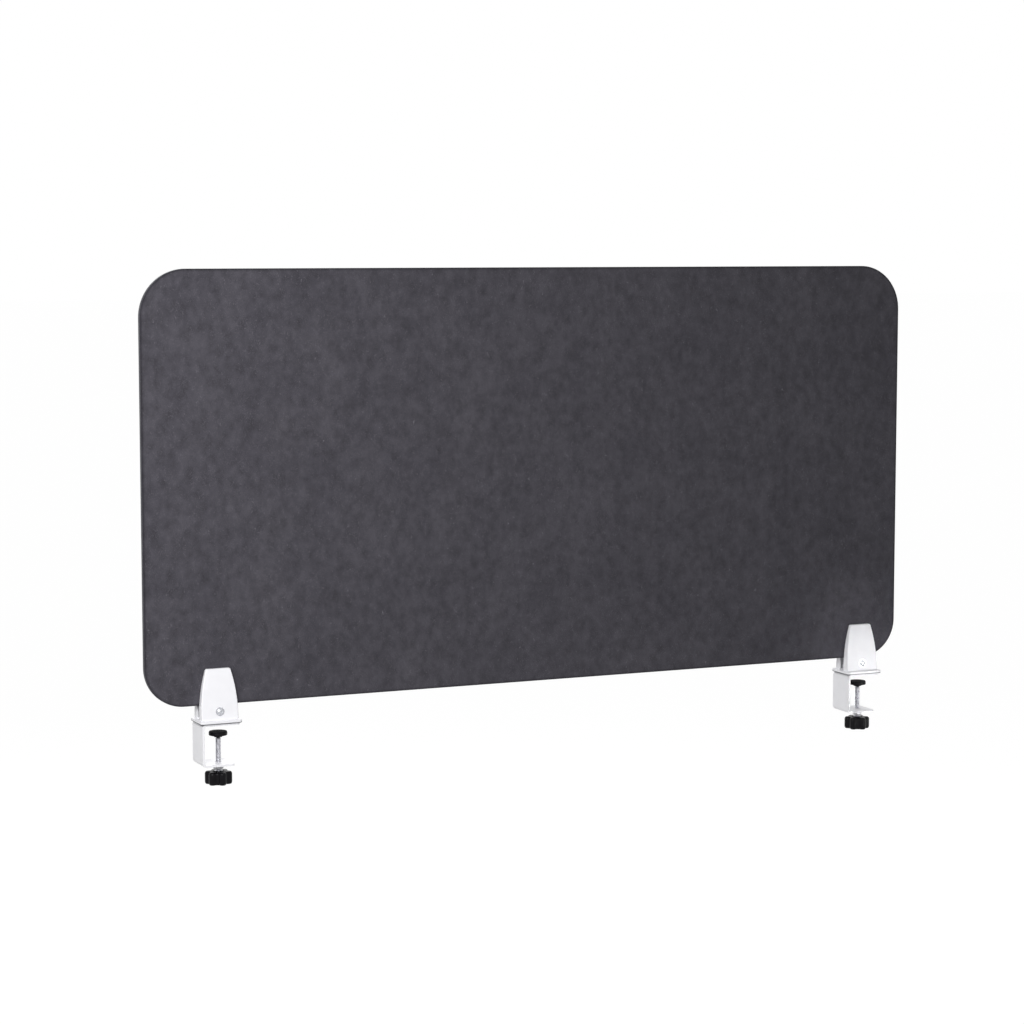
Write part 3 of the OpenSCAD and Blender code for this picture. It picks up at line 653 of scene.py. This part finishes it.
def makeKnob(side):
    # foot: inset is its width times one less the sine, and height is its height times one less the cosine
    # brow: the same with sine and cosine swapped, counted down from the top of the body
    # top: the flare, the collar's rounded rim and the bore for the bush, as one turned profile
    centre, tall = footOf(side + "_knob")
    body = tall - knob["collarHeight"]
    bend = np.radians(np.linspace(0, 90, knob["bendPoints"]))
    (footWide, footTall), (browWide, browTall) = knob["foot"], knob["brow"]
    lower = [starRing(footWide * (1 - math.sin(a)), footTall * (1 - math.cos(a))) for a in bend]
    upper = [starRing(browWide * (1 - math.cos(a)), body - browTall * (1 - math.sin(a))) for a in bend]
    collar, bush, ease, flare = knob["collar"], knob["bush"], knob["ease"], knob["flare"]
    flareArc = arcPoints((collar + flare, body + flare), flare, -90, -180, knob["flareSteps"])
    rimArc = arcPoints((collar - ease, tall - ease), ease, 0, 90, knob["easeSteps"])
    bore = [(bush + ease, tall), (bush, tall - ease), (bush, tall - knob["bushDeep"])]
    top = revolved(np.concatenate([flareArc, rimArc, bore]), points=knob["points"])
    rings = np.concatenate([np.array(lower), np.array(upper), top])
    count, around = rings.shape[:2]
    under, faces = knobUnderside(body)
    start = len(under)
    faces = faces + (ringFaces(count, around) + start).tolist() + [endFace(count - 1, around, start)]
    points = np.concatenate([under, rings.reshape(-1, 3)]) + centre
    return newPiece(side + "_star_knob", points, faces, knob["sharp"])


for side in sides:
    place(makeKnob(side), side + "_knob", moulded)
print("knobs made")


# Swivel pad and its facing: turned profiles with rounded rims
pad = {"radius": 13 * mm, "disc": 4 * mm, "rim": 1 * mm, "faceEase": 0.4 * mm, "faceMiddle": 0.2 * mm,
       "neck": 2.5 * mm, "neckRadius": 6 * mm, "neckEase": 0.5 * mm, "fillet": 1.2 * mm,
       "ballSeat": 3.65 * mm, "mouth": 2.8 * mm, "seatTop": 89, "seatSteps": 24,
       "roundSteps": 6, "easeSteps": 4, "sharp": 40}
facing = {"radius": 12.5 * mm, "ease": 0.4 * mm, "easeEnd": 80, "easeSteps": 4,
          "faceStart": 0.5 * mm, "middle": 0.3 * mm, "facePoints": 90,
          "groove": 0.25 * mm, "grooves": 4, "grooveFrom": 0.4, "sharp": 40}


def makePad(side):
    # a ball seat cut by its mouth, a neck with rounded edge and fillet, and a disc with rounded rims
    centre, _ = footOf(side + "_swivel_pad")
    seatZ = math.sqrt(pad["ballSeat"] ** 2 - pad["mouth"] ** 2)
    mouthAngle = math.degrees(math.atan2(-seatZ, pad["mouth"]))
    neck, radius, rim, ease = pad["neck"], pad["radius"], pad["rim"], pad["faceEase"]
    neckEase, fillet = pad["neckEase"], pad["fillet"]
    roundSteps, easeSteps = pad["roundSteps"], pad["easeSteps"]
    top = neck + pad["disc"]
    profile = [arcPoints((0, seatZ), pad["ballSeat"], pad["seatTop"], mouthAngle, pad["seatSteps"]),
               arcPoints((pad["neckRadius"] - neckEase, neckEase), neckEase, -90, 0, easeSteps),
               arcPoints((pad["neckRadius"] + fillet, neck - fillet), fillet, 180, 90, roundSteps),
               arcPoints((radius - rim, neck + rim), rim, -90, 0, roundSteps),
               arcPoints((radius - ease, top - ease), ease, 0, 90, easeSteps),
               [(pad["faceMiddle"], top)]]
    return loftPiece(side + "_pad_disc", revolved(np.concatenate(profile), centre), pad["sharp"])


def makeFacing(side):
    # ring grooves moulded into the rubber, as deep as a cosine of the radius stands over a threshold
    centre, tall = footOf(side + "_pad_facing")
    radius, ease, middle, cut = facing["radius"], facing["ease"], facing["middle"], facing["grooveFrom"]
    r = np.linspace(radius - facing["faceStart"], middle, facing["facePoints"])
    wave = np.cos(r / radius * 2 * np.pi * facing["grooves"])
    ripple = np.clip(wave - cut, 0, 1 - cut) / (1 - cut)
    face = np.stack([r, tall - facing["groove"] * ripple], axis=-1)
    rim = arcPoints((radius - ease, tall - ease), ease, 0, facing["easeEnd"], facing["easeSteps"])
    profile = np.concatenate([[(middle, 0), (radius, 0)], rim, face])
    return loftPiece(side + "_facing_disc", revolved(profile, centre), facing["sharp"])


for side in sides:
    place(makePad(side), side + "_swivel_pad", moulded)
    place(makeFacing(side), side + "_pad_facing", blackRubber)
print("pads made")


# Studio: pale floor well below the desk line, soft lamps, camera at the photograph's angle
studio = {"floorDrop": 0.72, "floorSize": 60, "floorTone": (0.85, 0.85, 0.85), "floorGlow": 1.06,
          "glowShare": 0.92, "white": 1.0, "ambient": 0.24, "whiteColour": (1.0, 1.0, 1.0, 1)}
lamps = {
    "key": {"place": (-1.20, -1.15, 0.85), "target": (-0.35, 0, 0.3),
            "size": 1.0, "power": 25.8, "spread": 180},
    "fill": {"place": (0.80, -0.60, -0.10), "target": (0.545, 0, 0.012),
             "size": 0.12, "power": 0.042, "spread": 24},  # a narrow beam on the right clamp
    "back": {"place": (0.4, 2.4, 1.9), "target": (0, 0, 0.3),
             "size": 1.6, "power": 45, "spread": 180},
}
shot = {"place": (-1.6198, -3.4707, 0.6608), "yaw": 24.367, "pitch": 5.778, "lens": 93.25, "far": 200}


def seenRay(tree):
    # 1 for a ray from the camera or off a shiny face, otherwise 0
    seen = tree.nodes.new("ShaderNodeLightPath")
    either = tree.nodes.new("ShaderNodeMath")
    either.operation = "MAXIMUM"
    tree.links.new(seen.outputs["Is Camera Ray"], either.inputs[0])
    tree.links.new(seen.outputs["Is Glossy Ray"], either.inputs[1])
    return either.outputs[0]


def blendInto(out, tree, share, first, second):
    # the output's surface is the first shader, and by the share the second
    blend = tree.nodes.new("ShaderNodeMixShader")
    for socket, source in zip(blend.inputs, (share, first.outputs[0], second.outputs[0])):
        tree.links.new(source, socket)
    tree.links.new(blend.outputs[0], out.inputs["Surface"])


def makeFloor():
    # a square whose glow reaches the camera and shiny faces by its share, and the rest takes the shadow
    size, drop = studio["floorSize"], -studio["floorDrop"]
    corners = [(-size, -size, drop), (size, -size, drop), (size, size, drop), (-size, size, drop)]
    data = bpy.data.meshes.new("floor")
    data.from_pydata(corners, [], [(0, 1, 2, 3)])
    floor = addObject("floor", data)
    m = Nodes("pale_floor")
    m.set(Base_Color=studio["floorTone"], Roughness=0.9, Specular_IOR_Level=0.1)
    glow = m.add("ShaderNodeEmission", Color=studio["whiteColour"], Strength=studio["floorGlow"])
    share = m.times(seenRay(m.tree), studio["glowShare"])
    blendInto(m.tree.nodes["Material Output"], m.tree, share, m.shader, glow)
    data.materials.append(m.material)


def makeWorld():
    # soft light for the part, and plain white where the camera or a shiny face looks past it
    world = bpy.data.worlds.new("studio_air")
    world.use_nodes = True
    bpy.context.scene.world = world
    tree = world.node_tree
    tree.nodes.clear()
    skies = []
    for strength in (studio["ambient"], studio["white"]):
        sky = tree.nodes.new("ShaderNodeBackground")
        sky.inputs["Color"].default_value = studio["whiteColour"]
        sky.inputs["Strength"].default_value = strength
        skies.append(sky)
    blendInto(tree.nodes.new("ShaderNodeOutputWorld"), tree, seenRay(tree), *skies)


def aimAlong(piece, spot, direction):
    piece.location = spot
    piece.rotation_mode = "QUATERNION"
    piece.rotation_quaternion = direction.to_track_quat("-Z", "Y")


def addLamp(name, lamp):
    data = bpy.data.lights.new(name, "AREA")
    data.shape = "DISK"
    data.size = lamp["size"]
    data.energy = lamp["power"]
    data.spread = math.radians(lamp["spread"])
    aimAlong(addObject(name, data), lamp["place"], Vector(lamp["target"]) - Vector(lamp["place"]))


def addCamera():
    # direction: sine and cosine of the yaw times the cosine of the pitch, and down by the sine of the pitch
    yaw, pitch = math.radians(shot["yaw"]), math.radians(shot["pitch"])
    aim = Vector((math.sin(yaw) * math.cos(pitch), math.cos(yaw) * math.cos(pitch), -math.sin(pitch)))
    data = bpy.data.cameras.new("camera")
    data.lens = shot["lens"]
    data.clip_end = shot["far"]
    camera = addObject("camera", data)
    aimAlong(camera, shot["place"], aim)
    bpy.context.scene.camera = camera


makeFloor()
makeWorld()
for name, lamp in lamps.items():
    addLamp(name, lamp)
addCamera()
bpy.context.scene.view_settings.view_transform = "Standard"
print("studio made")
